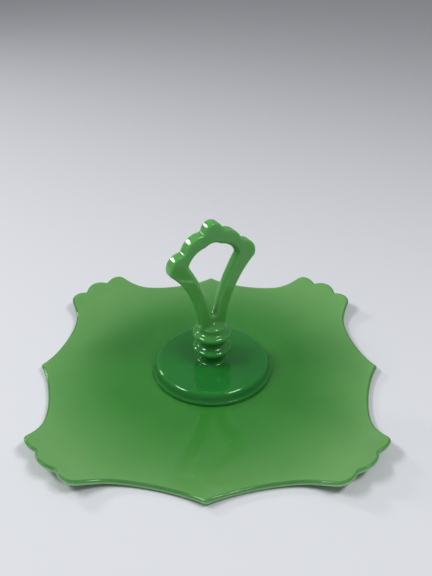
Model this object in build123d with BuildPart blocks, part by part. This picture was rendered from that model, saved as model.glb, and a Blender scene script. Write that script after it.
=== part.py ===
from build123d import *
from math import asin, cos, radians, sin, sqrt
import os

# Centre-handled square glass serving tray.
# +Z is up and Z = 0 is the table. The origin is the centre of the tray's underside. +Y points to the
# middle of one side, and all four sides are alike. Sizes are in millimetres.

# --- Tray: pressed plate ---
tray_reach = 135.0          # centre to the tip of each side's middle cusp: half the tray's width
tray_thickness = 4.5        # glass thickness, the same all over
rim_width = 19.9            # the plate is flat up to this far inside the reach, then its rim rises
rise_radius = 79.0          # radius of the rim's rise, at mid-thickness
rim_edge_round = 1.6        # fire-polished rounding of the rim's edges

# --- Tray: outline, one eighth of it, seen from above, measured in from the tray's reach ---
cusp_round = 3.0            # rounding of the cusp's tip
cusp_slope = 33.0           # degrees between the cusp's flank and the side
cusp_pull = 12.0            # how far the flank runs before it turns into the sweep
waist_in = 16.2             # the sweep's lowest place: in from the reach
waist_back = 74.0           # and back along the side from the corner's reach
waist_pull = 22.0           # how flat the sweep is on the cusp's side of its lowest place
waist_turn = 9.0            # and on the corner's side
lobe_radius = 17.0          # radius of each of a corner's three lobes
side_lobe_in = 25.1         # centre of the lobe beside the corner: in from the reach
side_lobe_back = 52.6       # and back along the side
corner_lobe_in = 36.8       # centre of the corner's own lobe, in from both reaches
ear_angle = 12.0            # degrees past the side lobe's top where the sweep meets it
ear_slope = 27.0            # degrees that the sweep climbs there
ear_pull = 7.5
ear_round = 4.0             # rounding where a sweep meets a lobe
notch_round = 1.5           # rounding of the notch between two lobes

# --- Handle: place on the tray ---
handle_turn = 30.0          # degrees from the tray's side; a handle is set by eye while it is hot
handle_shift_x = 2.5        # the handle's axis stands this far off the tray's centre
handle_shift_y = 0.8

# --- Handle: round foot ---
foot_radius = 47.5
lip_height = 2.9            # the thin step round the foot's base
lip_ledge = 1.3             # how far the step stands out from the foot's wall
lip_round = 0.9
shoulder_radius = 44.0      # the foot's wall leans in to here at its top
shoulder_round = 3.4
foot_height = 9.4           # base of the foot to its top, at the shoulder
foot_crown = 0.3            # how much the top rises from the shoulder to the stem

# --- Handle: ringed stem ---
stem_radius = 10.4          # between the rings
stem_foot_round = 2.2       # hollow where the stem meets the foot
low_ring_z = 15.5           # where the slope under the lower ring starts
ring_pitch = 13.3
ring_radius = 15.1
ring_under = 4.7            # height of the slope under a ring
ring_face = 2.6             # height of its upright face
ring_ledge = 2.5            # height of the ledge over it
ring_round = 2.0            # rounding of a ring's edges
hollow_round = 2.2          # and of the hollows beside it
collar_radius = 11.2        # where the stem ends, over its upper ring
collar_height = 3.7         # upper ring's ledge to the collar's edge
collar_round = 2.0
cone_radius = 3.0           # the collar's top slopes in to here, inside the flat loop
cone_height = 4.2

# --- Handle: flat open loop, half of it, heights from the foot's base ---
loop_thickness = 8.5
root_half, root_z = 10.2, 37.8              # inside the stem
arm_low_half, arm_low_z = 9.6, 57.0         # the two points that the arm's outside leans towards
arm_high_half, arm_high_z = 19.5, 82.5
end_half, end_z = 34.9, 96.0                # the loop's widest corner
outer_notch_half, outer_notch_z = 23.6, 110.5
inner_notch_half, inner_notch_z = 7.4, 122.4
loop_height = 130.3                         # top of the middle lobe
end_lobe_bulge = 4.9                        # how far a lobe stands out from the line across it
side_lobe_bulge = 3.9
loop_corner_round = 0.8
loop_edge_round = 0.8

# --- Handle: window in the loop ---
apex_half, apex_z = 1.9, 54.3
window_low_half, window_low_z = 3.8, 68.0   # the two points that the window's side leans towards
window_high_half, window_high_z = 10.6, 84.0
window_end_half, window_end_z = 20.0, 100.0  # the window's widest corner
step_half, step_z = 6.2, 111.8              # where the scallops of its top meet
window_top_z = 114.0
end_scallop_bulge = 2.6
window_corner_round = 1.2
window_edge_round = 2.8                     # the finger hold is well rounded

# --- How near two places have to be to count as the same ---
same_place = 0.01
same_direction = 0.001

os.makedirs("parts", exist_ok=True)


def beside_middle(start, end, bulge):
    """The middle of the line from start to end, moved to its right by bulge."""
    run = Vector(*end) - Vector(*start)
    to_the_right = Vector(run.Y, -run.X) * (bulge / run.length)
    middle = Vector(*start) + run * 0.5 + to_the_right
    return (middle.X, middle.Y)


def mirrored(point):
    """The same point on the other side of the handle's axis."""
    return (-point[0], point[1])


# --- Tray: scalloped outline ---
flank = Vector(cos(radians(cusp_slope)), -sin(radians(cusp_slope)))
cusp_tip = Vector(0, tray_reach)
cusp_centre = Vector(0, tray_reach - cusp_round)
cusp_end = cusp_centre + Vector(-flank.Y, flank.X) * cusp_round
cusp_half_slope = radians(cusp_slope / 2)
cusp_middle = cusp_centre + Vector(sin(cusp_half_slope), cos(cusp_half_slope)) * cusp_round
waist = Vector(tray_reach - waist_back, tray_reach - waist_in)
side_lobe = Vector(tray_reach - side_lobe_back, tray_reach - side_lobe_in)
corner_lobe = Vector(tray_reach - corner_lobe_in, tray_reach - corner_lobe_in)
ear = side_lobe + Vector(sin(radians(ear_angle)), cos(radians(ear_angle))) * lobe_radius
ear_climb = Vector(cos(radians(ear_slope)), sin(radians(ear_slope)))
between_lobes = corner_lobe - side_lobe
notch_out = Vector(-between_lobes.Y, between_lobes.X) * (1 / between_lobes.length)
notch_depth = sqrt(lobe_radius**2 - (between_lobes.length / 2) ** 2)
notch = side_lobe + between_lobes * 0.5 + notch_out * notch_depth
side_lobe_middle = side_lobe + ((ear + notch) * 0.5 - side_lobe).normalized() * lobe_radius
corner_tip = corner_lobe + Vector(1, 1).normalized() * lobe_radius
corner_lobe_middle = corner_lobe + ((notch + corner_tip) * 0.5 - corner_lobe).normalized() * lobe_radius
plan_reach = max(corner_tip.length, tray_reach)

with BuildSketch() as outline:
    with BuildLine():
        ThreePointArc(cusp_tip, cusp_middle, cusp_end)
        Bezier(cusp_end, cusp_end + flank * cusp_pull, waist - Vector(waist_pull, 0), waist)
        Bezier(waist, waist + Vector(waist_turn, 0), ear - ear_climb * ear_pull, ear)
        ThreePointArc(ear, side_lobe_middle, notch)
        ThreePointArc(notch, corner_lobe_middle, corner_tip)
        mirror(about=Plane(origin=(0, 0, 0), z_dir=(1, -1, 0)))
        mirror(about=Plane.YZ)
        mirror(about=Plane.XZ)
    make_face()
    ears = outline.vertices().filter_by(lambda v: abs(max(abs(v.X), abs(v.Y)) - ear.Y) < same_place)
    fillet(ears, radius=ear_round)
    notches = outline.vertices().filter_by(lambda v: abs(max(abs(v.X), abs(v.Y)) - notch.Y) < same_place)
    fillet(notches, radius=notch_round)

# --- Tray: flat middle and rising rim, cut to the outline ---
flat_radius = tray_reach - rim_width
rise_centre_z = tray_thickness / 2 + rise_radius
rise_under = rise_radius + tray_thickness / 2
rise_over = rise_radius - tray_thickness / 2
rise_angle = asin((plan_reach + tray_thickness - flat_radius) / rise_over)


def on_rise(radius, angle):
    """A point of the rim's section, on the arc of this radius, angle past the end of the flat."""
    return (flat_radius + radius * sin(angle), rise_centre_z - radius * cos(angle))


def is_outside_wall(face):
    """Picks the quarter plate's upright outer faces, not the two on its cut sides."""
    middle = face.center()
    return abs(face.normal_at().Z) < same_place and min(middle.X, middle.Y) > same_place


# One quarter is made and mirrored, so that all four sides and corners are the same.
with BuildPart() as tray:
    with BuildSketch(Plane.XZ):
        with BuildLine():
            Line((0, tray_thickness), (0, 0))
            Line((0, 0), (flat_radius, 0))
            under_middle = on_rise(rise_under, rise_angle / 2)
            ThreePointArc((flat_radius, 0), under_middle, on_rise(rise_under, rise_angle))
            Line(on_rise(rise_under, rise_angle), on_rise(rise_over, rise_angle))
            over_middle = on_rise(rise_over, rise_angle / 2)
            ThreePointArc(on_rise(rise_over, rise_angle), over_middle, (flat_radius, tray_thickness))
            Line((flat_radius, tray_thickness), (0, tray_thickness))
        make_face()
    revolve(axis=Axis.Z, revolution_arc=90)
    add(outline.sketch)
    extrude(amount=rise_centre_z, mode=Mode.INTERSECT)
    rim_edges = tray.faces().filter_by(is_outside_wall).edges().filter_by(Axis.Z, reverse=True)
    fillet(rim_edges, radius=rim_edge_round)
    mirror(about=Plane.YZ)
    mirror(about=Plane.XZ)
tray.part.label = "tray"
export_step(tray.part, "parts/tray.step")

# --- Handle: upright plane through its axis, with its base on the tray ---
turn = radians(handle_turn)
handle_plane = Plane(
    origin=(handle_shift_x, handle_shift_y, tray_thickness),
    x_dir=(cos(turn), sin(turn), 0),
    z_dir=(sin(turn), -cos(turn), 0),
)
handle_axis = Axis(handle_plane.origin, (0, 0, 1))

# Heights up the stem, from the foot's base
high_ring_z = low_ring_z + ring_pitch
ring_height = ring_under + ring_face + ring_ledge
collar_z = high_ring_z + ring_height + collar_height


def at_height(*heights):
    """Picks the corners of a sketch on the handle's plane that are at one of these heights."""
    return lambda corner: min(abs(corner.Y - height) for height in heights) < same_place


def faces_sideways(face):
    """Picks the loop's two flat faces."""
    return abs(abs(face.normal_at().dot(handle_plane.z_dir)) - 1) < same_direction


with BuildPart() as handle:
    root = (root_half, root_z)
    end = (end_half, end_z)
    outer_notch = (outer_notch_half, outer_notch_z)
    inner_notch = (inner_notch_half, inner_notch_z)
    with BuildSketch(handle_plane) as loop:
        with BuildLine():
            Line((0, root_z), root)
            Bezier(root, (arm_low_half, arm_low_z), (arm_high_half, arm_high_z), end)
            ThreePointArc(end, beside_middle(end, outer_notch, end_lobe_bulge), outer_notch)
            side_lobe_top = beside_middle(outer_notch, inner_notch, side_lobe_bulge)
            ThreePointArc(outer_notch, side_lobe_top, inner_notch)
            mirror(about=Plane.YZ)
            ThreePointArc(inner_notch, (0, loop_height), mirrored(inner_notch))
        make_face()
        loop_corners = loop.vertices().filter_by(at_height(end_z, outer_notch_z, inner_notch_z))
        fillet(loop_corners, radius=loop_corner_round)
    extrude(amount=loop_thickness / 2, both=True)
    fillet(handle.faces().filter_by(faces_sideways).edges(), radius=loop_edge_round)

    apex = (apex_half, apex_z)
    window_end = (window_end_half, window_end_z)
    step = (step_half, step_z)
    with BuildSketch(handle_plane) as window:
        with BuildLine():
            Bezier(apex, (window_low_half, window_low_z), (window_high_half, window_high_z), window_end)
            ThreePointArc(window_end, beside_middle(window_end, step, end_scallop_bulge), step)
            mirror(about=Plane.YZ)
            ThreePointArc(step, (0, window_top_z), mirrored(step))
            ThreePointArc(mirrored(apex), (0, apex_z - apex_half), apex)
        make_face()
        fillet(window.vertices().filter_by(at_height(window_end_z, step_z)), radius=window_corner_round)
    extrude(amount=loop_thickness, both=True, mode=Mode.SUBTRACT)
    window_walls = handle.faces(Select.LAST)
    flat_faces = handle.faces().filter_by(faces_sideways)
    fillet(flat_faces.edges() & window_walls.edges(), radius=window_edge_round)

    with BuildSketch(handle_plane) as stem:
        with BuildLine():
            corners = [
                (0, 0),
                (foot_radius, 0),
                (foot_radius, lip_height),
                (foot_radius - lip_ledge, lip_height),
                (shoulder_radius, foot_height),
                (stem_radius, foot_height + foot_crown),
            ]
            for ring_z in (low_ring_z, high_ring_z):
                corners += [
                    (stem_radius, ring_z),
                    (ring_radius, ring_z + ring_under),
                    (ring_radius, ring_z + ring_under + ring_face),
                    (stem_radius, ring_z + ring_height),
                ]
            corners += [(collar_radius, collar_z), (cone_radius, collar_z + cone_height)]
            Polyline(*corners, (0, collar_z + cone_height), close=True)
        make_face()
        ring_edges = [ring_z + ring_under for ring_z in (low_ring_z, high_ring_z)]
        ring_edges += [edge_z + ring_face for edge_z in ring_edges]
        hollows = [low_ring_z, low_ring_z + ring_height, high_ring_z, high_ring_z + ring_height]
        lip_edge = stem.vertices().filter_by(at_height(lip_height)).sort_by(Axis.X)[-1]
        fillet(lip_edge, radius=lip_round)
        fillet(stem.vertices().filter_by(at_height(foot_height)), radius=shoulder_round)
        fillet(stem.vertices().filter_by(at_height(foot_height + foot_crown)), radius=stem_foot_round)
        fillet(stem.vertices().filter_by(at_height(*ring_edges)), radius=ring_round)
        fillet(stem.vertices().filter_by(at_height(*hollows)), radius=hollow_round)
        fillet(stem.vertices().filter_by(at_height(collar_z)), radius=collar_round)
    revolve(axis=handle_axis)
handle.part.label = "handle"
export_step(handle.part, "parts/handle.step")
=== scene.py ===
"""A square scalloped glass tray with an upright open-loop handle fused to its middle."""

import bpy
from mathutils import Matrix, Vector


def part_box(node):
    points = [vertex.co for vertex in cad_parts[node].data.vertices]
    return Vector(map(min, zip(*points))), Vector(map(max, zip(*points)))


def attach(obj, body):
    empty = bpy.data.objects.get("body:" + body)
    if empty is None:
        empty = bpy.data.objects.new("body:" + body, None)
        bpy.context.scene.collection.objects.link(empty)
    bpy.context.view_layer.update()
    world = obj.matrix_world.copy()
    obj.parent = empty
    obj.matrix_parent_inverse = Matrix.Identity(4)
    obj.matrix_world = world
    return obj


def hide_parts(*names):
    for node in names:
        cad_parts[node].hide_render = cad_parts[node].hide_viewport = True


bl_info = {
    "name": "Scalloped Glass Server",
    "version": (1, 0, 0),
    "blender": (4, 5, 0),
    "location": "3D View > Sidebar > Glass Server",
    "description": "Builds a square scalloped tray of milky green glass with an upright loop handle",
    "category": "Add Mesh",
}

import math

import bmesh
import bpy
from bpy.props import FloatProperty, FloatVectorProperty, IntProperty, PointerProperty
from mathutils import Matrix, Vector

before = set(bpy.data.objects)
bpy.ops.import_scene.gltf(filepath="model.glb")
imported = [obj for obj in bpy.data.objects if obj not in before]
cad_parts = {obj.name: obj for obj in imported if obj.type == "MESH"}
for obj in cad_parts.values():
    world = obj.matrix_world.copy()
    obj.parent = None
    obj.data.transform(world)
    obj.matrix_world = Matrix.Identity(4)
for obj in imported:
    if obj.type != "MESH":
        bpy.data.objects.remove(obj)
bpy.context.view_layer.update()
TRAY_LOW, TRAY_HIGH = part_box("tray")
HANDLE_LOW, HANDLE_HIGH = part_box("handle")
MM = 0.001
FOOT_BASE = HANDLE_LOW.z
FOOT_RADIUS = (HANDLE_HIGH.x - HANDLE_LOW.x) / 2
HANDLE_AXIS = Vector((HANDLE_LOW.x + FOOT_RADIUS, HANDLE_LOW.y + FOOT_RADIUS, FOOT_BASE))


# ---------------------------------------------------------------- node maths


class Wire:
    """A socket that carries a number, so that it can stand in a Python sum."""

    def __init__(self, graph, socket):
        self.graph = graph
        self.socket = socket

    def math(self, operation, *values):
        settings = {"operation": operation}
        return self.graph.wire("ShaderNodeMath", settings, dict(enumerate(values)))

    def __add__(self, other):
        return self.math("ADD", self, other)

    def __sub__(self, other):
        return self.math("SUBTRACT", self, other)

    def __rsub__(self, other):
        return self.math("SUBTRACT", other, self)

    def __mul__(self, other):
        return self.math("MULTIPLY", self, other)

    def __pow__(self, other):
        return self.math("POWER", self, other)

    __radd__ = __add__
    __rmul__ = __mul__

    def sine(self):
        return self.math("SINE", self)

    def cosine(self):
        return self.math("COSINE", self)

    def root(self):
        return self.math("SQRT", self)

    def at_least(self, low):
        return self.math("MAXIMUM", self, low)

    def share(self, start, end):
        """0 before start, 1 after end, and straight between them."""
        values = {"Value": self, "From Min": start, "From Max": end}
        return self.graph.wire("ShaderNodeMapRange", {}, values)

    def eased(self, start, end):
        """0 before start, 1 after end, and an S-curve between them."""
        values = {"Value": self, "From Min": start, "From Max": end}
        return self.graph.wire("ShaderNodeMapRange", {"interpolation_type": "SMOOTHSTEP"}, values)


class Graph:
    """Makes and links the nodes of one tree."""

    def __init__(self, tree):
        self.tree = tree

    def node(self, kind, settings=None, values=None):
        """A node of this kind, with its settings, and the values or links of its sockets."""
        made = self.tree.nodes.new(kind)
        for name, value in (settings or {}).items():
            setattr(made, name, value)
        for name, value in (values or {}).items():
            self.feed(made.inputs[name], value)
        return made

    def feed(self, socket, value):
        if isinstance(value, Wire):
            value = value.socket
        if isinstance(value, bpy.types.NodeSocket):
            self.tree.links.new(value, socket)
        else:
            socket.default_value = value

    def wire(self, kind, settings=None, values=None, output=0):
        return Wire(self, self.node(kind, settings, values).outputs[output])

    def colour_mix(self, factor, first, second):
        """Between two colours. Each is a link or four numbers."""
        values = {0: factor, 6: first, 7: second}
        return self.node("ShaderNodeMix", {"data_type": "RGBA"}, values).outputs[2]


# ---------------------------------------------------------------- sizes and colours


class ServerTray(bpy.types.PropertyGroup):
    """Sizes of the tray's outline, section and mesh."""

    cusp_reach: FloatProperty(
        name="Cusp reach", description="Centre to the tip of a side's middle cusp",
        default=TRAY_HIGH.x, min=0.05, unit="LENGTH", subtype="DISTANCE",
    )
    cusp_round: FloatProperty(
        name="Cusp rounding", description="Radius of the cusp's tip",
        default=3.0 * MM, min=0, unit="LENGTH", subtype="DISTANCE",
    )
    cusp_slope: FloatProperty(
        name="Cusp slope", description="Angle between the cusp's flank and the side",
        default=math.radians(33), subtype="ANGLE", unit="ROTATION",
    )
    waist: FloatVectorProperty(
        name="Waist", description="Lowest place of the sweep from cusp to corner: along the side, and out",
        default=(61.0 * MM, 118.8 * MM), size=2, unit="LENGTH",
    )
    side_lobe: FloatVectorProperty(
        name="Side lobe", description="Centre of the lobe beside a corner: along the side, and out",
        default=(82.4 * MM, 109.9 * MM), size=2, unit="LENGTH",
    )
    corner_lobe: FloatProperty(
        name="Corner lobe", description="Centre of the corner's own lobe, along both sides",
        default=98.2 * MM, unit="LENGTH", subtype="DISTANCE",
    )
    lobe_radius: FloatProperty(
        name="Lobe radius", description="Radius of each of a corner's three lobes",
        default=17.0 * MM, min=0, unit="LENGTH", subtype="DISTANCE",
    )
    ear_angle: FloatProperty(
        name="Ear angle", description="How far past its top a side lobe meets the sweep",
        default=math.radians(12), subtype="ANGLE", unit="ROTATION",
    )
    ear_slope: FloatProperty(
        name="Ear slope", description="How steeply the sweep climbs to the side lobe",
        default=math.radians(27), subtype="ANGLE", unit="ROTATION",
    )
    corner_round: FloatProperty(
        name="Ear rounding", description="Rounding where a sweep meets a lobe",
        default=4.0 * MM, min=0, unit="LENGTH", subtype="DISTANCE",
    )
    notch_round: FloatProperty(
        name="Notch rounding", description="Rounding of the notch between two lobes",
        default=1.5 * MM, min=0, unit="LENGTH", subtype="DISTANCE",
    )
    thickness: FloatProperty(
        name="Thickness", description="Thickness of the glass",
        default=FOOT_BASE, min=0.001, unit="LENGTH", subtype="DISTANCE",
    )
    flat_radius: FloatProperty(
        name="Flat radius", description="The plate is flat out to here",
        default=115.1 * MM, min=0, unit="LENGTH", subtype="DISTANCE",
    )
    rise_radius: FloatProperty(
        name="Rise radius", description="Radius of the rim's upward sweep, at mid-thickness",
        default=79.0 * MM, min=0.02, unit="LENGTH", subtype="DISTANCE",
    )
    edge_round: FloatProperty(
        name="Edge rounding", description="How far in the fire-polished rounding of the rim begins",
        default=2.1 * MM, min=0, unit="LENGTH", subtype="DISTANCE",
    )
    around: IntProperty(name="Around", description="Mesh divisions round the outline", default=1200, min=64)
    deep_colour: FloatVectorProperty(
        name="Deep green", description="Colour of the tray's middle",
        default=(0.034, 0.195, 0.028), size=3, subtype="COLOR", min=0, max=1,
    )
    rim_colour: FloatVectorProperty(
        name="Rim green", description="Colour towards the rim, where light comes through",
        default=(0.138, 0.325, 0.104), size=3, subtype="COLOR", min=0, max=1,
    )


class ServerHandle(bpy.types.PropertyGroup):
    """Sizes of the handle's foot, ringed stem and open loop."""

    turn: FloatProperty(
        name="Turn", description="Angle between the loop and the tray's side",
        default=math.radians(30), subtype="ANGLE", unit="ROTATION",
    )
    foot_radius: FloatProperty(
        name="Foot radius", description="Radius of the round foot",
        default=FOOT_RADIUS, min=0.01, unit="LENGTH", subtype="DISTANCE",
    )
    shoulder_radius: FloatProperty(
        name="Shoulder radius", description="Radius of the foot above the step round its base",
        default=44.0 * MM, min=0.01, unit="LENGTH", subtype="DISTANCE",
    )
    foot_height: FloatProperty(
        name="Foot height", description="Height of the foot at its shoulder",
        default=9.4 * MM, min=0.001, unit="LENGTH", subtype="DISTANCE",
    )
    stem_radius: FloatProperty(
        name="Stem radius", description="Radius of the stem between its rings",
        default=10.4 * MM, min=0.001, unit="LENGTH", subtype="DISTANCE",
    )
    ring_radius: FloatProperty(
        name="Ring radius", description="Radius of the stem's two rings",
        default=15.1 * MM, min=0.001, unit="LENGTH", subtype="DISTANCE",
    )
    ring_pitch: FloatProperty(
        name="Ring pitch", description="Height from one ring of the stem to the next",
        default=13.3 * MM, min=0.001, unit="LENGTH", subtype="DISTANCE",
    )
    loop_height: FloatProperty(
        name="Loop height", description="Base of the foot to the top of the loop",
        default=HANDLE_HIGH.z - FOOT_BASE, min=0.02, unit="LENGTH", subtype="DISTANCE",
    )
    loop_thickness: FloatProperty(
        name="Loop thickness", description="Thickness of the flat loop",
        default=8.5 * MM, min=0.001, unit="LENGTH", subtype="DISTANCE",
    )
    voxel: FloatProperty(
        name="Detail", description="Size of the mesh's faces where the pieces are melted together",
        default=0.6 * MM, min=0.0002, unit="LENGTH", subtype="DISTANCE",
    )
    hold_round: FloatProperty(
        name="Finger hold", description="Rounding of the window's edges",
        default=2.8 * MM, min=0.0005, unit="LENGTH", subtype="DISTANCE",
    )
    softening: IntProperty(
        name="Softening", description="How much the melted skin is evened out", default=3, min=0,
    )
    deep_colour: FloatVectorProperty(
        name="Deep green", description="Colour of the thick foot",
        default=(0.014, 0.158, 0.024), size=3, subtype="COLOR", min=0, max=1,
    )
    thin_colour: FloatVectorProperty(
        name="Thin green", description="Colour of the slim loop",
        default=(0.085, 0.29, 0.07), size=3, subtype="COLOR", min=0, max=1,
    )


class ServerStage(bpy.types.PropertyGroup):
    """Floor, lights and camera."""

    floor_colour: FloatVectorProperty(
        name="Floor", description="Colour of the plain floor",
        default=(0.60, 0.61, 0.64), size=3, subtype="COLOR", min=0, max=1,
    )
    lamp_power: FloatProperty(
        name="Lamp power", description="Power of the main lamps", default=6.2, min=0, unit="POWER",
    )
    surround: FloatProperty(
        name="Surround", description="Strength of the even light all round", default=0.33, min=0,
    )
    camera_place: FloatVectorProperty(
        name="Camera", description="Where the camera stands",
        default=(7.9 * MM, -405.9 * MM, 336.0 * MM), size=3, unit="LENGTH", subtype="XYZ",
    )
    camera_tilt: FloatProperty(
        name="Camera tilt", description="How far the camera looks down",
        default=math.radians(32.24), subtype="ANGLE", unit="ROTATION",
    )
    camera_heading: FloatProperty(
        name="Camera heading", description="How far the camera is turned to the left of +Y",
        default=math.radians(0.32), subtype="ANGLE", unit="ROTATION",
    )
    focal_length: FloatProperty(
        name="Focal length", description="Focal length, in millimetres",
        default=40.3, min=1, subtype="DISTANCE_CAMERA", unit="CAMERA",
    )


# ---------------------------------------------------------------- outlines

ROUNDING_CUT = 0.8  # how far from a corner its rounding starts, as a share of the rounding's radius
SMOOTHING_ROUNDS = 8  # for an outline that was moved outwards


def arc(centre, radius, start, end, steps):
    """Points on a circle from one angle to another, both ends included. Angles are in radians."""
    angles = [start + (end - start) * i / steps for i in range(steps + 1)]
    return [centre + Vector((math.cos(a), math.sin(a))) * radius for a in angles]


def bezier(first, lean_out, lean_in, last, steps):
    """Points on a cubic curve, both ends included."""
    points = []
    for i in range(steps + 1):
        t = i / steps
        s = 1 - t
        points.append(first * s**3 + lean_out * 3 * s * s * t + lean_in * 3 * s * t * t + last * t**3)
    return points


def bulged(start, end, bulge, steps):
    """An arc from start to end that stands out to the right of that line by bulge. Both ends included."""
    run = end - start
    right = Vector((run.y, -run.x)).normalized()
    half = run.length / 2
    radius = (half * half + bulge * bulge) / (2 * bulge)
    centre = (start + end) / 2 + right * (bulge - radius)
    sweep = 2 * math.asin(min(1, half / radius))
    first = math.atan2(start.y - centre.y, start.x - centre.x)
    return arc(centre, radius, first, first + sweep, steps)


def three_point_arc(start, top, steps):
    """Right half of an arc centred on the loop's axis, from start up to its top, on the axis."""
    rise = top.y - start.y
    radius = (start.x ** 2 + rise ** 2) / (2 * rise)
    centre = Vector((0, top.y - radius))
    return arc(centre, radius, math.atan2(start.y - centre.y, start.x), math.pi / 2, steps)


def rounded_corner(before, after, radius, steps):
    """Joins two runs of points that meet at a corner by a curve of about this radius."""
    corner = before[-1]
    cut = radius * ROUNDING_CUT
    start_part = [p for p in before if (p - corner).length > cut]
    end_part = [p for p in after if (p - corner).length > cut]
    first, last = start_part[-1], end_part[0]
    blend = [
        first * (1 - t) ** 2 + corner * 2 * t * (1 - t) + last * t * t
        for t in [i / steps for i in range(1, steps)]
    ]
    return start_part + blend + end_part


def joined(*runs):
    """One list of points from runs that each start where the last one ended."""
    points = list(runs[0])
    for run in runs[1:]:
        points += run[1:]
    return points


def quarter_outline(size):
    """The tray's outline from the middle of one side to the middle of the next, seen from above."""
    cusp_pull, waist_pull, waist_turn, ear_pull = 12 * MM, 22 * MM, 9 * MM, 7.5 * MM
    slope = size.cusp_slope
    flank = Vector((math.cos(slope), -math.sin(slope)))
    tip_centre = Vector((0, size.cusp_reach - size.cusp_round))
    tip = arc(tip_centre, size.cusp_round, math.pi / 2, math.pi / 2 - slope, 8)
    waist = Vector(size.waist)
    side_lobe = Vector(size.side_lobe)
    corner_lobe = Vector((size.corner_lobe, size.corner_lobe))
    radius = size.lobe_radius
    ear_turn = math.pi / 2 - size.ear_angle
    ear = side_lobe + Vector((math.cos(ear_turn), math.sin(ear_turn))) * radius
    climb = Vector((math.cos(size.ear_slope), math.sin(size.ear_slope)))
    gap = corner_lobe - side_lobe
    out = Vector((-gap.y, gap.x)).normalized()
    notch = side_lobe + gap / 2 + out * math.sqrt(radius**2 - (gap.length / 2) ** 2)
    fall = bezier(tip[-1], tip[-1] + flank * cusp_pull, waist - Vector((waist_pull, 0)), waist, 60)
    rise = bezier(waist, waist + Vector((waist_turn, 0)), ear - climb * ear_pull, ear, 40)
    to_notch = notch - side_lobe
    side = arc(side_lobe, radius, ear_turn, math.atan2(to_notch.y, to_notch.x), 40)
    from_notch = notch - corner_lobe
    corner = arc(corner_lobe, radius, math.atan2(from_notch.y, from_notch.x), math.pi / 4, 40)
    eighth = rounded_corner(joined(tip, fall, rise), side, size.corner_round, 8)
    eighth = rounded_corner(eighth, corner, size.notch_round, 8)
    other = [Vector((p.y, p.x)) for p in reversed(eighth)]
    return joined(eighth, other)


def softened(corners, steps=8):
    """Straight lines through corners, each given as a point and the radius of its rounding."""
    points = [corners[0][0]]
    for (before, _), (corner, radius), (after, _) in zip(corners, corners[1:], corners[2:]):
        if not radius:
            points.append(corner)
            continue
        back, on = (before - corner).normalized(), (after - corner).normalized()
        half = back.angle(on) / 2
        first = corner + back * (radius / math.tan(half))
        last = corner + on * (radius / math.tan(half))
        centre = corner + (back + on).normalized() * (radius / math.sin(half))
        for i in range(steps + 1):
            way = (first - centre).lerp(last - centre, i / steps)
            points.append(centre + way.normalized() * radius)
    return points + [corners[-1][0]]


def stem_profile(size):
    """Half of the foot and ringed stem: distance from the axis, and height above the foot's base."""
    lip_height, lip_ledge, lip_round = 2.9 * MM, 1.3 * MM, 0.9 * MM
    shoulder_round, crown = 3.4 * MM, 0.3 * MM
    low_ring, ring_under, ring_face, ring_ledge = 15.5 * MM, 4.7 * MM, 2.6 * MM, 2.5 * MM
    ring_round, hollow_round = 2.0 * MM, 2.2 * MM
    collar, collar_height, cone, cone_height = 11.2 * MM, 3.7 * MM, 3.0 * MM, 4.2 * MM
    foot, top, stem, ring = size.foot_radius, size.foot_height, size.stem_radius, size.ring_radius
    corners = [
        (Vector((0, 0)), 0), (Vector((foot, 0)), 0), (Vector((foot, lip_height)), lip_round),
        (Vector((foot - lip_ledge, lip_height)), 0),
        (Vector((size.shoulder_radius, top)), shoulder_round),
        (Vector((stem, top + crown)), hollow_round),
    ]
    for level in (low_ring, low_ring + size.ring_pitch):
        corners += [
            (Vector((stem, level)), hollow_round),
            (Vector((ring, level + ring_under)), ring_round),
            (Vector((ring, level + ring_under + ring_face)), ring_round),
            (Vector((stem, level + ring_under + ring_face + ring_ledge)), hollow_round),
        ]
    level += ring_under + ring_face + ring_ledge + collar_height
    corners += [(Vector((collar, level)), ring_round), (Vector((cone, level + cone_height)), 0)]
    return softened(corners + [(Vector((0, level + cone_height)), 0)])


def spot(x, y):
    """A place on the loop's plane, from millimetres along the loop and above the foot's base."""
    return Vector((x * MM, y * MM))


def mirrored(half):
    """A closed outline from its right half, which runs from bottom to top."""
    return half + [Vector((-p.x, p.y)) for p in reversed(half) if abs(p.x) > 0.001 * MM]


def loop_outline(size):
    """Outside of the loop, as a closed list of points."""
    end, outer_notch, inner_notch = spot(34.9, 96.0), spot(23.6, 110.5), spot(7.4, 122.4)
    arm = bezier(spot(10.2, 37.8), spot(9.6, 57.0), spot(19.5, 82.5), end, 40)
    end_lobe = bulged(end, outer_notch, 4.9 * MM, 20)
    side_lobe = bulged(outer_notch, inner_notch, 3.9 * MM, 20)
    top_lobe = three_point_arc(inner_notch, Vector((0, size.loop_height)), 16)
    half = rounded_corner(arm, end_lobe, 1.2 * MM, 6)
    half = rounded_corner(half, side_lobe, 1.4 * MM, 6)
    return mirrored(rounded_corner(half, top_lobe, 1.4 * MM, 6))


def window_outline():
    """The finger window in the loop, as a closed list of points."""
    apex, ear, step = spot(1.9, 54.3), spot(20.0, 100.0), spot(6.2, 111.8)
    bottom = arc(Vector((0, apex.y)), apex.x, -math.pi / 2, 0, 5)
    side = bezier(apex, spot(3.8, 68.0), spot(10.6, 84.0), ear, 40)
    scallop = bulged(ear, step, 2.6 * MM, 16)
    crest = three_point_arc(step, spot(0, 114.0), 12)
    half = rounded_corner(joined(bottom, side), scallop, 1.4 * MM, 6)
    return mirrored(rounded_corner(half, crest, 0.8 * MM, 4))


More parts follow.
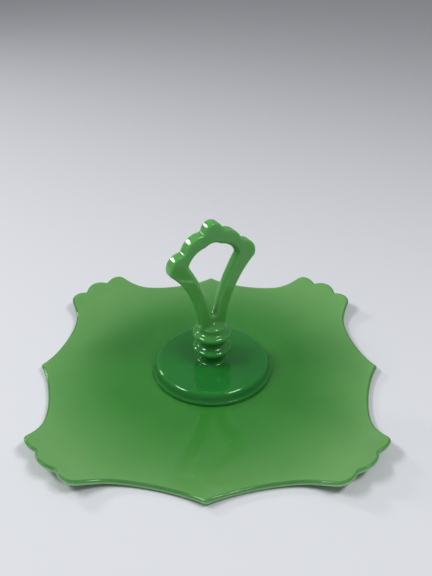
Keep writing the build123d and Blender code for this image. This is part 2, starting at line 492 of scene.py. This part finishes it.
def spread(points, distance):
    """A closed anticlockwise outline moved outwards by distance, with its folds cut off and smoothed."""
    moved = []
    for i, point in enumerate(points):
        along = (points[(i + 1) % len(points)] - points[i - 1]).normalized()
        moved.append(point + Vector((along.y, -along.x)) * distance)
    clear = distance * 0.99
    kept = [point for point in moved if min((point - near).length for near in points) > clear]
    for _ in range(SMOOTHING_ROUNDS):
        after = kept[1:] + kept[:1]
        kept = [(kept[i - 1] + point * 2 + after[i]) / 4 for i, point in enumerate(kept)]
    return kept


# ---------------------------------------------------------------- geometry trees


def inputs_of(tree, wanted):
    """Adds the tree's named inputs and geometry output, and gives its graph and input wires by name."""
    for name, kind in wanted:
        tree.interface.new_socket(name, in_out="INPUT", socket_type="NodeSocket" + kind)
    tree.interface.new_socket("Geometry", in_out="OUTPUT", socket_type="NodeSocketGeometry")
    graph = Graph(tree)
    given = graph.node("NodeGroupInput")
    return graph, {name: Wire(graph, given.outputs[name]) for name, _ in wanted}


def turned_about_z(graph, place, angle):
    """A place turned about the Z axis."""
    settings = {"rotation_type": "Z_AXIS"}
    return graph.wire("ShaderNodeVectorRotate", settings, {"Vector": place, "Angle": angle})


def unit_grid(graph, columns, rows):
    """A grid of one by one, and its column and row shares from 0 to 1."""
    values = {"Size X": 1.0, "Size Y": 1.0, "Vertices X": columns + 1, "Vertices Y": rows + 1}
    grid = graph.wire("GeometryNodeMeshGrid", {}, values)
    place = graph.wire("GeometryNodeInputPosition")
    split = graph.node("ShaderNodeSeparateXYZ", {}, {0: place})
    return grid, Wire(graph, split.outputs[0]) + 0.5, Wire(graph, split.outputs[1]) + 0.5


def finish_tree(graph, mesh, material):
    """Closes the seams, smooths the shading, and ends the tree."""
    merged = graph.wire("GeometryNodeMergeByDistance", {}, {"Geometry": mesh, "Distance": 0.002 * MM})
    smooth = graph.wire("GeometryNodeSetShadeSmooth", {}, {"Geometry": merged})
    real = graph.wire("GeometryNodeRealizeInstances", {}, {"Geometry": smooth})
    painted = graph.wire("GeometryNodeSetMaterial", {}, {"Geometry": real, "Material": material})
    graph.node("NodeGroupOutput", {}, {"Geometry": painted})


def scalloped_plate_tree():
    """A plate whose outline is a quarter turned to four places, with a rounded edge and a rising rim."""
    tree = bpy.data.node_groups.new("Scalloped plate", "GeometryNodeTree")
    graph, given = inputs_of(tree, [
        ("Quarter outline", "Geometry"), ("Around", "Int"), ("Rows over", "Int"),
        ("Rows round the edge", "Int"), ("Rows under", "Int"), ("Thickness", "Float"),
        ("Flat radius", "Float"), ("Rise radius", "Float"), ("Edge rounding", "Float"),
        ("Material", "Material"),
    ])
    quarter = graph.wire("GeometryNodeMeshToCurve", {}, {"Mesh": given["Quarter outline"]})
    four = {"Geometry": quarter, "Amount": 4}
    copies = graph.node("GeometryNodeDuplicateElements", {"domain": "SPLINE"}, four)
    angle = Wire(graph, copies.outputs["Duplicate Index"]) * (math.pi / 2)
    place = graph.wire("GeometryNodeInputPosition")
    turned = turned_about_z(graph, place, angle)
    ring = graph.wire("GeometryNodeSetPosition", {}, {"Geometry": copies.outputs[0], "Position": turned})
    ring = graph.wire("GeometryNodeCurveToMesh", {}, {"Curve": ring})
    ring = graph.wire("GeometryNodeMergeByDistance", {}, {"Geometry": ring, "Distance": 0.01 * MM})
    outline = graph.wire("GeometryNodeMeshToCurve", {}, {"Mesh": ring})

    rows = given["Rows over"] + given["Rows round the edge"] + given["Rows under"]
    grid, around, down = unit_grid(graph, given["Around"], rows)
    row = down * rows
    over = row.share(0.0, given["Rows over"])
    edge_start = given["Rows over"]
    edge_end = edge_start + given["Rows round the edge"]
    edge = row.share(edge_start, edge_end)
    under = 1 - row.share(edge_end, rows)
    reach = 1 - (1 - over * under) ** 1.5
    turn = edge * math.pi

    along = {"Curves": outline, "Factor": around}
    sampled = graph.node("GeometryNodeSampleCurve", {"mode": "FACTOR"}, along)
    place, tangent = sampled.outputs["Position"], sampled.outputs["Tangent"]
    cross = {0: tangent, 1: (0.0, 0.0, 1.0)}
    normal = graph.wire("ShaderNodeVectorMath", {"operation": "CROSS_PRODUCT"}, cross)
    facing = graph.wire("ShaderNodeVectorMath", {"operation": "DOT_PRODUCT"}, {0: normal, 1: place}, "Value")
    inset = given["Edge rounding"] * (1 - turn.sine()) * facing.math("SIGN", facing)
    moved = graph.wire("ShaderNodeVectorMath", {"operation": "SCALE"}, {0: normal, "Scale": inset})
    inside = graph.wire("ShaderNodeVectorMath", {"operation": "SUBTRACT"}, {0: place, 1: moved})
    flat = graph.wire("ShaderNodeVectorMath", {"operation": "SCALE"}, {0: inside, "Scale": reach})
    distance = graph.wire("ShaderNodeVectorMath", {"operation": "LENGTH"}, {0: flat}, "Value")
    past_flat = (distance - given["Flat radius"]).at_least(0.0)
    half = given["Thickness"] * 0.5
    arc_radius = given["Rise radius"] - turn.cosine() * half
    height = given["Rise radius"] + half - (arc_radius * arc_radius - past_flat * past_flat).root()
    split = graph.node("ShaderNodeSeparateXYZ", {}, {0: flat})
    raised = graph.wire("ShaderNodeCombineXYZ", {}, {0: split.outputs[0], 1: split.outputs[1], 2: height})
    # The attribute is stored before the grid is moved, because it is worked out from the flat grid.
    named = {"Geometry": grid, "Name": "edge", "Value": edge}
    kind = {"data_type": "FLOAT", "domain": "POINT"}
    grid = graph.wire("GeometryNodeStoreNamedAttribute", kind, named)
    plate = graph.wire("GeometryNodeSetPosition", {}, {"Geometry": grid, "Position": raised})
    finish_tree(graph, plate, given["Material"])
    return tree


def turned_tree():
    """A profile turned round the Z axis. The profile lies in the XZ plane."""
    tree = bpy.data.node_groups.new("Turned profile", "GeometryNodeTree")
    graph, given = inputs_of(tree, [
        ("Profile", "Geometry"), ("Around", "Int"), ("Along", "Int"), ("Material", "Material"),
    ])
    profile = graph.wire("GeometryNodeMeshToCurve", {}, {"Mesh": given["Profile"]})
    grid, around, along = unit_grid(graph, given["Around"], given["Along"])
    sampled = graph.wire(
        "GeometryNodeSampleCurve", {"mode": "FACTOR"}, {"Curves": profile, "Factor": along}, "Position"
    )
    angle = around * (2 * math.pi)
    turned = {"Geometry": grid, "Position": turned_about_z(graph, sampled, angle)}
    turned = graph.wire("GeometryNodeSetPosition", {}, turned)
    finish_tree(graph, turned, given["Material"])
    return tree


def grown(name, points, tree, settings):
    """A plain mesh grown by a geometry tree from a chain of points, with its faces outwards."""
    chain = bpy.data.meshes.new(name + "_chain")
    chain.from_pydata(points, [(i, i + 1) for i in range(len(points) - 1)], [])
    holder = bpy.data.objects.new(name + "_chain", chain)
    bpy.context.scene.collection.objects.link(holder)
    modifier = holder.modifiers.new("Nodes", "NODES")
    modifier.node_group = tree
    for item in tree.interface.items_tree:
        if item.name in settings:
            modifier[item.identifier] = settings[item.name]
    depsgraph = bpy.context.evaluated_depsgraph_get()
    mesh = bpy.data.meshes.new_from_object(holder.evaluated_get(depsgraph))
    bpy.data.objects.remove(holder)
    mesh.name = name
    face_outwards(mesh)
    return mesh


def face_outwards(mesh):
    """Turns all faces of a closed mesh outwards."""
    work = bmesh.new()
    work.from_mesh(mesh)
    bmesh.ops.recalc_face_normals(work, faces=work.faces)
    work.to_mesh(mesh)
    work.free()


# ---------------------------------------------------------------- glass

CLOUDINESS = 0.22  # how much the milkiness varies from place to place
EDGE_DARK_REFLECTION = (0.045, 0.12, 0.045, 1)  # painted dark reflection over the tray's rounded edge
EDGE_WALL_GLOW = (0.32, 0.55, 0.34, 1)  # painted glow on the pale wall under it, where the rim catches light


def milky_glass(name, deep, thin_and_glow, thinness_and_glow, trim=None):
    """Fire-polished milky green glass.

    The fourth argument gives a wire, 0 where the glass is deep and 1 for the lighter colour: slim glass on
    the handle, a painted glow on the tray. trim takes the colour and gives it back with its edges changed,
    on the tray with painted light and shade.
    """
    material = bpy.data.materials.new(name)
    material.use_nodes = True
    tree = material.node_tree
    tree.nodes.clear()
    graph = Graph(tree)
    place = graph.wire("ShaderNodeTexCoord", output="Object")
    cloudy = {"Vector": place, "Scale": 14.0, "Detail": 3.0, "Distortion": 1.2}
    cloud = graph.wire("ShaderNodeTexNoise", {}, cloudy)
    amount = thinness_and_glow(graph, place) + (cloud - 0.5) * CLOUDINESS
    # lighter colour: slim glass on the handle, painted glow on the tray
    colour = graph.colour_mix(amount.share(0.0, 1.0), (*deep, 1), (*thin_and_glow, 1))
    if trim:
        colour = trim(graph, colour)
    ripple = graph.wire("ShaderNodeTexNoise", {}, {"Vector": place, "Scale": 38.0, "Detail": 2.0})
    grain = graph.wire("ShaderNodeTexNoise", {}, {"Vector": place, "Scale": 420.0, "Detail": 3.0})
    height = ripple + grain * 0.04
    bump = graph.wire("ShaderNodeBump", {}, {"Strength": 0.25, "Distance": 0.0004, "Height": height})
    roughness = 0.03 + grain * 0.03
    shader = graph.node("ShaderNodeBsdfPrincipled", {}, {
        "Base Color": colour, "Roughness": roughness, "Normal": bump, "IOR": 1.52,
        "Subsurface Weight": 0.85, "Subsurface Radius": (0.35, 1.0, 0.3), "Subsurface Scale": 0.012,
        "Specular Tint": (0.7, 1.0, 0.72, 1),
    })
    graph.node("ShaderNodeOutputMaterial", {}, {"Surface": shader.outputs[0]})
    return material


def tray_painted_glow(graph, place):
    """The tray is deep green in its middle and lighter towards its corners and edge: a painted glow of light
    that comes through the raised rim.
    """
    flat = graph.wire("ShaderNodeVectorMath", {"operation": "MULTIPLY"}, {0: place, 1: (1.0, 1.0, 0.0)})
    radius = graph.wire("ShaderNodeVectorMath", {"operation": "LENGTH"}, {0: flat}, "Value")
    return radius.eased(62 * MM, 172 * MM) * 1.25


def tray_painted_edge_light(graph, colour):
    """The tray's rounded edge gets a painted dark reflection over it and a painted glow at its outer wall.
    """
    edge = graph.wire("ShaderNodeAttribute", {"attribute_name": "edge"}, output="Fac")
    dark = edge.eased(0.0, 0.06) * (1 - edge.eased(0.3, 0.45))
    pale = edge.eased(0.45, 0.6) * (1 - edge.eased(0.85, 1.0))
    # painted dark reflection over the edge, then painted glow on its outer wall
    colour = graph.colour_mix(dark * 0.7, colour, EDGE_DARK_REFLECTION)
    return graph.colour_mix(pale * 0.6, colour, EDGE_WALL_GLOW)


def handle_thinness(graph, place):
    """The handle is darkest in its thick foot and stem, and lighter in its slim loop."""
    split = graph.node("ShaderNodeSeparateXYZ", {}, {0: place})
    return Wire(graph, split.outputs[2]).eased(15 * MM, 75 * MM)


# ---------------------------------------------------------------- operators


def place_piece(name, mesh, node):
    """Adds a finished piece that stands for a CAD node."""
    piece = bpy.data.objects.new(name, mesh)
    bpy.context.scene.collection.objects.link(piece)
    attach(piece, "root")
    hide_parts(node)


class BuildTray(bpy.types.Operator):
    """Build the scalloped tray."""

    bl_idname = "glass_server.build_tray"
    bl_label = "Build tray"

    def execute(self, context):
        size = context.scene.server_tray
        # the rim colour and the edge trim paint a glow and a dark reflection into the tray's colour
        glass = milky_glass("Tray glass", size.deep_colour, size.rim_colour, tray_painted_glow, tray_painted_edge_light)
        settings = {
            "Around": size.around, "Rows over": 34, "Rows round the edge": 10, "Rows under": 18,
            "Thickness": size.thickness, "Flat radius": size.flat_radius, "Rise radius": size.rise_radius,
            "Edge rounding": size.edge_round, "Material": glass,
        }
        points = [(p.x, p.y, 0) for p in quarter_outline(size)]
        mesh = grown("glass_tray", points, scalloped_plate_tree(), settings)
        place_piece("glass_tray", mesh, "tray")
        return {"FINISHED"}


def flat_bar(name, outlines, thickness, edge):
    """A flat bar with rounded edges between closed outlines, upright in the XZ plane."""
    curve = bpy.data.curves.new(name, "CURVE")
    curve.dimensions = "2D"
    curve.fill_mode = "BOTH"
    curve.extrude = thickness / 2 - edge
    curve.bevel_depth = edge
    curve.bevel_resolution = 6
    curve.offset = -edge
    for points in outlines:
        spline = curve.splines.new("POLY")
        spline.points.add(len(points) - 1)
        for point, place in zip(spline.points, points):
            point.co = (place.x, place.y, 0, 1)
        spline.use_cyclic_u = True
    holder = bpy.data.objects.new(name, curve)
    bpy.context.scene.collection.objects.link(holder)
    depsgraph = bpy.context.evaluated_depsgraph_get()
    mesh = bpy.data.meshes.new_from_object(holder.evaluated_get(depsgraph))
    bpy.data.objects.remove(holder)
    mesh.transform(Matrix.Rotation(math.pi / 2, 4, "X"))
    return mesh


def melted(name, meshes, voxel, smoothing):
    """Overlapping closed meshes melted into one skin, with softened edges."""
    work = bmesh.new()
    for mesh in meshes:
        work.from_mesh(mesh)
    bmesh.ops.remove_doubles(work, verts=work.verts, dist=0.001 * MM)
    bmesh.ops.recalc_face_normals(work, faces=work.faces)
    both = bpy.data.meshes.new(name)
    work.to_mesh(both)
    work.free()
    holder = bpy.data.objects.new(name + "_holder", both)
    bpy.context.scene.collection.objects.link(holder)
    skin = holder.modifiers.new("Skin", "REMESH")
    skin.mode = "VOXEL"
    skin.voxel_size = voxel
    skin.use_smooth_shade = True
    soft = holder.modifiers.new("Soft", "SMOOTH")
    soft.factor = 0.5
    soft.iterations = smoothing
    depsgraph = bpy.context.evaluated_depsgraph_get()
    mesh = bpy.data.meshes.new_from_object(holder.evaluated_get(depsgraph))
    bpy.data.objects.remove(holder)
    mesh.name = name
    return mesh


class BuildHandle(bpy.types.Operator):
    """Build the handle: round foot, ringed stem and open loop."""

    bl_idname = "glass_server.build_handle"
    bl_label = "Build handle"

    def execute(self, context):
        size = context.scene.server_handle
        glass = milky_glass("Handle glass", size.deep_colour, size.thin_colour, handle_thinness)
        profile = [(p.x, 0, p.y) for p in stem_profile(size)]
        settings = {"Around": 160, "Along": 260, "Material": glass}
        stem = grown("stem", profile, turned_tree(), settings)
        window = window_outline()
        hold, edge = size.hold_round, 1.0 * MM
        loop_outlines = [loop_outline(size), spread(window, hold)]
        loop = flat_bar("loop", loop_outlines, size.loop_thickness, edge)
        hold_outlines = [spread(window, 2 * hold + edge), window]
        finger_hold = flat_bar("finger_hold", hold_outlines, size.loop_thickness, hold)
        mesh = melted("glass_handle", [stem, loop, finger_hold], size.voxel, size.softening)
        mesh.transform(Matrix.Translation(HANDLE_AXIS) @ Matrix.Rotation(size.turn, 4, "Z"))
        mesh.materials.clear()
        mesh.materials.append(glass)
        place_piece("glass_handle", mesh, "handle")
        return {"FINISHED"}


def area_lamp(name, place, target, width, height, power):
    """A soft rectangular lamp that looks at target."""
    lamp = bpy.data.lights.new(name, "AREA")
    lamp.shape = "RECTANGLE"
    lamp.size = width
    lamp.size_y = height
    lamp.energy = power
    stand = bpy.data.objects.new(name, lamp)
    stand.location = place
    stand.rotation_euler = (Vector(target) - Vector(place)).to_track_quat("-Z", "Y").to_euler()
    bpy.context.scene.collection.objects.link(stand)


FLOOR_REACH = 3.0
LIT_SPOT = (0, 0, 0.05)  # the lamps look here

# Name, place, width, height, and power as a share of the stage's lamp power
LAMPS = (
    ("Left lamp", (-0.69, -0.14, 0.91), 0.44, 0.18, 1.0),
    ("Right lamp", (0.52, -0.31, 0.98), 0.44, 0.18, 1.0),
    ("Side lamp", (-1.15, 0.70, 0.80), 0.28, 0.24, 0.9),
)


class BuildStage(bpy.types.Operator):
    """Build the floor, the soft lamps and the camera."""

    bl_idname = "glass_server.build_stage"
    bl_label = "Build stage"

    def execute(self, context):
        stage = context.scene.server_stage
        self.floor(stage)
        for name, place, width, height, power in LAMPS:
            area_lamp(name, place, LIT_SPOT, width, height, power * stage.lamp_power)
        self.surround(context.scene, stage)
        self.camera(context.scene, stage)
        return {"FINISHED"}

    def floor(self, stage):
        mesh = bpy.data.meshes.new("floor")
        corners = [(x * FLOOR_REACH, y * FLOOR_REACH, 0) for x, y in ((-1, -1), (1, -1), (1, 1), (-1, 1))]
        mesh.from_pydata(corners, [], [(0, 1, 2, 3)])
        material = bpy.data.materials.new("Floor")
        material.use_nodes = True
        shader = material.node_tree.nodes["Principled BSDF"]
        shader.inputs["Base Color"].default_value = (*stage.floor_colour, 1)
        shader.inputs["Roughness"].default_value = 0.9
        mesh.materials.append(material)
        floor = bpy.data.objects.new("floor", mesh)
        bpy.context.scene.collection.objects.link(floor)

    def surround(self, scene, stage):
        world = bpy.data.worlds.new("Surround")
        world.use_nodes = True
        back = world.node_tree.nodes["Background"]
        back.inputs["Color"].default_value = (0.9, 0.92, 0.95, 1)
        back.inputs["Strength"].default_value = stage.surround
        scene.world = world
        scene.view_settings.view_transform = "Standard"

    def camera(self, scene, stage):
        lens = bpy.data.cameras.new("Camera")
        lens.lens = stage.focal_length
        camera = bpy.data.objects.new("Camera", lens)
        camera.location = stage.camera_place
        camera.rotation_euler = (math.pi / 2 - stage.camera_tilt, 0, stage.camera_heading)
        scene.collection.objects.link(camera)
        scene.camera = camera


class ServerPanel(bpy.types.Panel):
    """Lists the pieces and their sizes."""

    bl_idname = "VIEW3D_PT_glass_server"
    bl_label = "Glass Server"
    bl_space_type = "VIEW_3D"
    bl_region_type = "UI"
    bl_category = "Glass Server"

    def draw(self, context):
        for operator, group in PIECES:
            self.layout.operator(operator.bl_idname)
            settings = getattr(context.scene, group)
            for name in settings.__annotations__:
                self.layout.prop(settings, name)


PIECES = ((BuildTray, "server_tray"), (BuildHandle, "server_handle"), (BuildStage, "server_stage"))
CLASSES = (ServerTray, ServerHandle, ServerStage, BuildTray, BuildHandle, BuildStage, ServerPanel)
GROUPS = {"server_tray": ServerTray, "server_handle": ServerHandle, "server_stage": ServerStage}


def register():
    for cls in CLASSES:
        bpy.utils.register_class(cls)
    for name, group in GROUPS.items():
        setattr(bpy.types.Scene, name, PointerProperty(type=group))


def unregister():
    for name in GROUPS:
        delattr(bpy.types.Scene, name)
    for cls in reversed(CLASSES):
        bpy.utils.unregister_class(cls)


def main():
    register()
    bpy.ops.glass_server.build_tray()
    bpy.ops.glass_server.build_handle()
    bpy.ops.glass_server.build_stage()


if __name__ == "__main__":
    main()
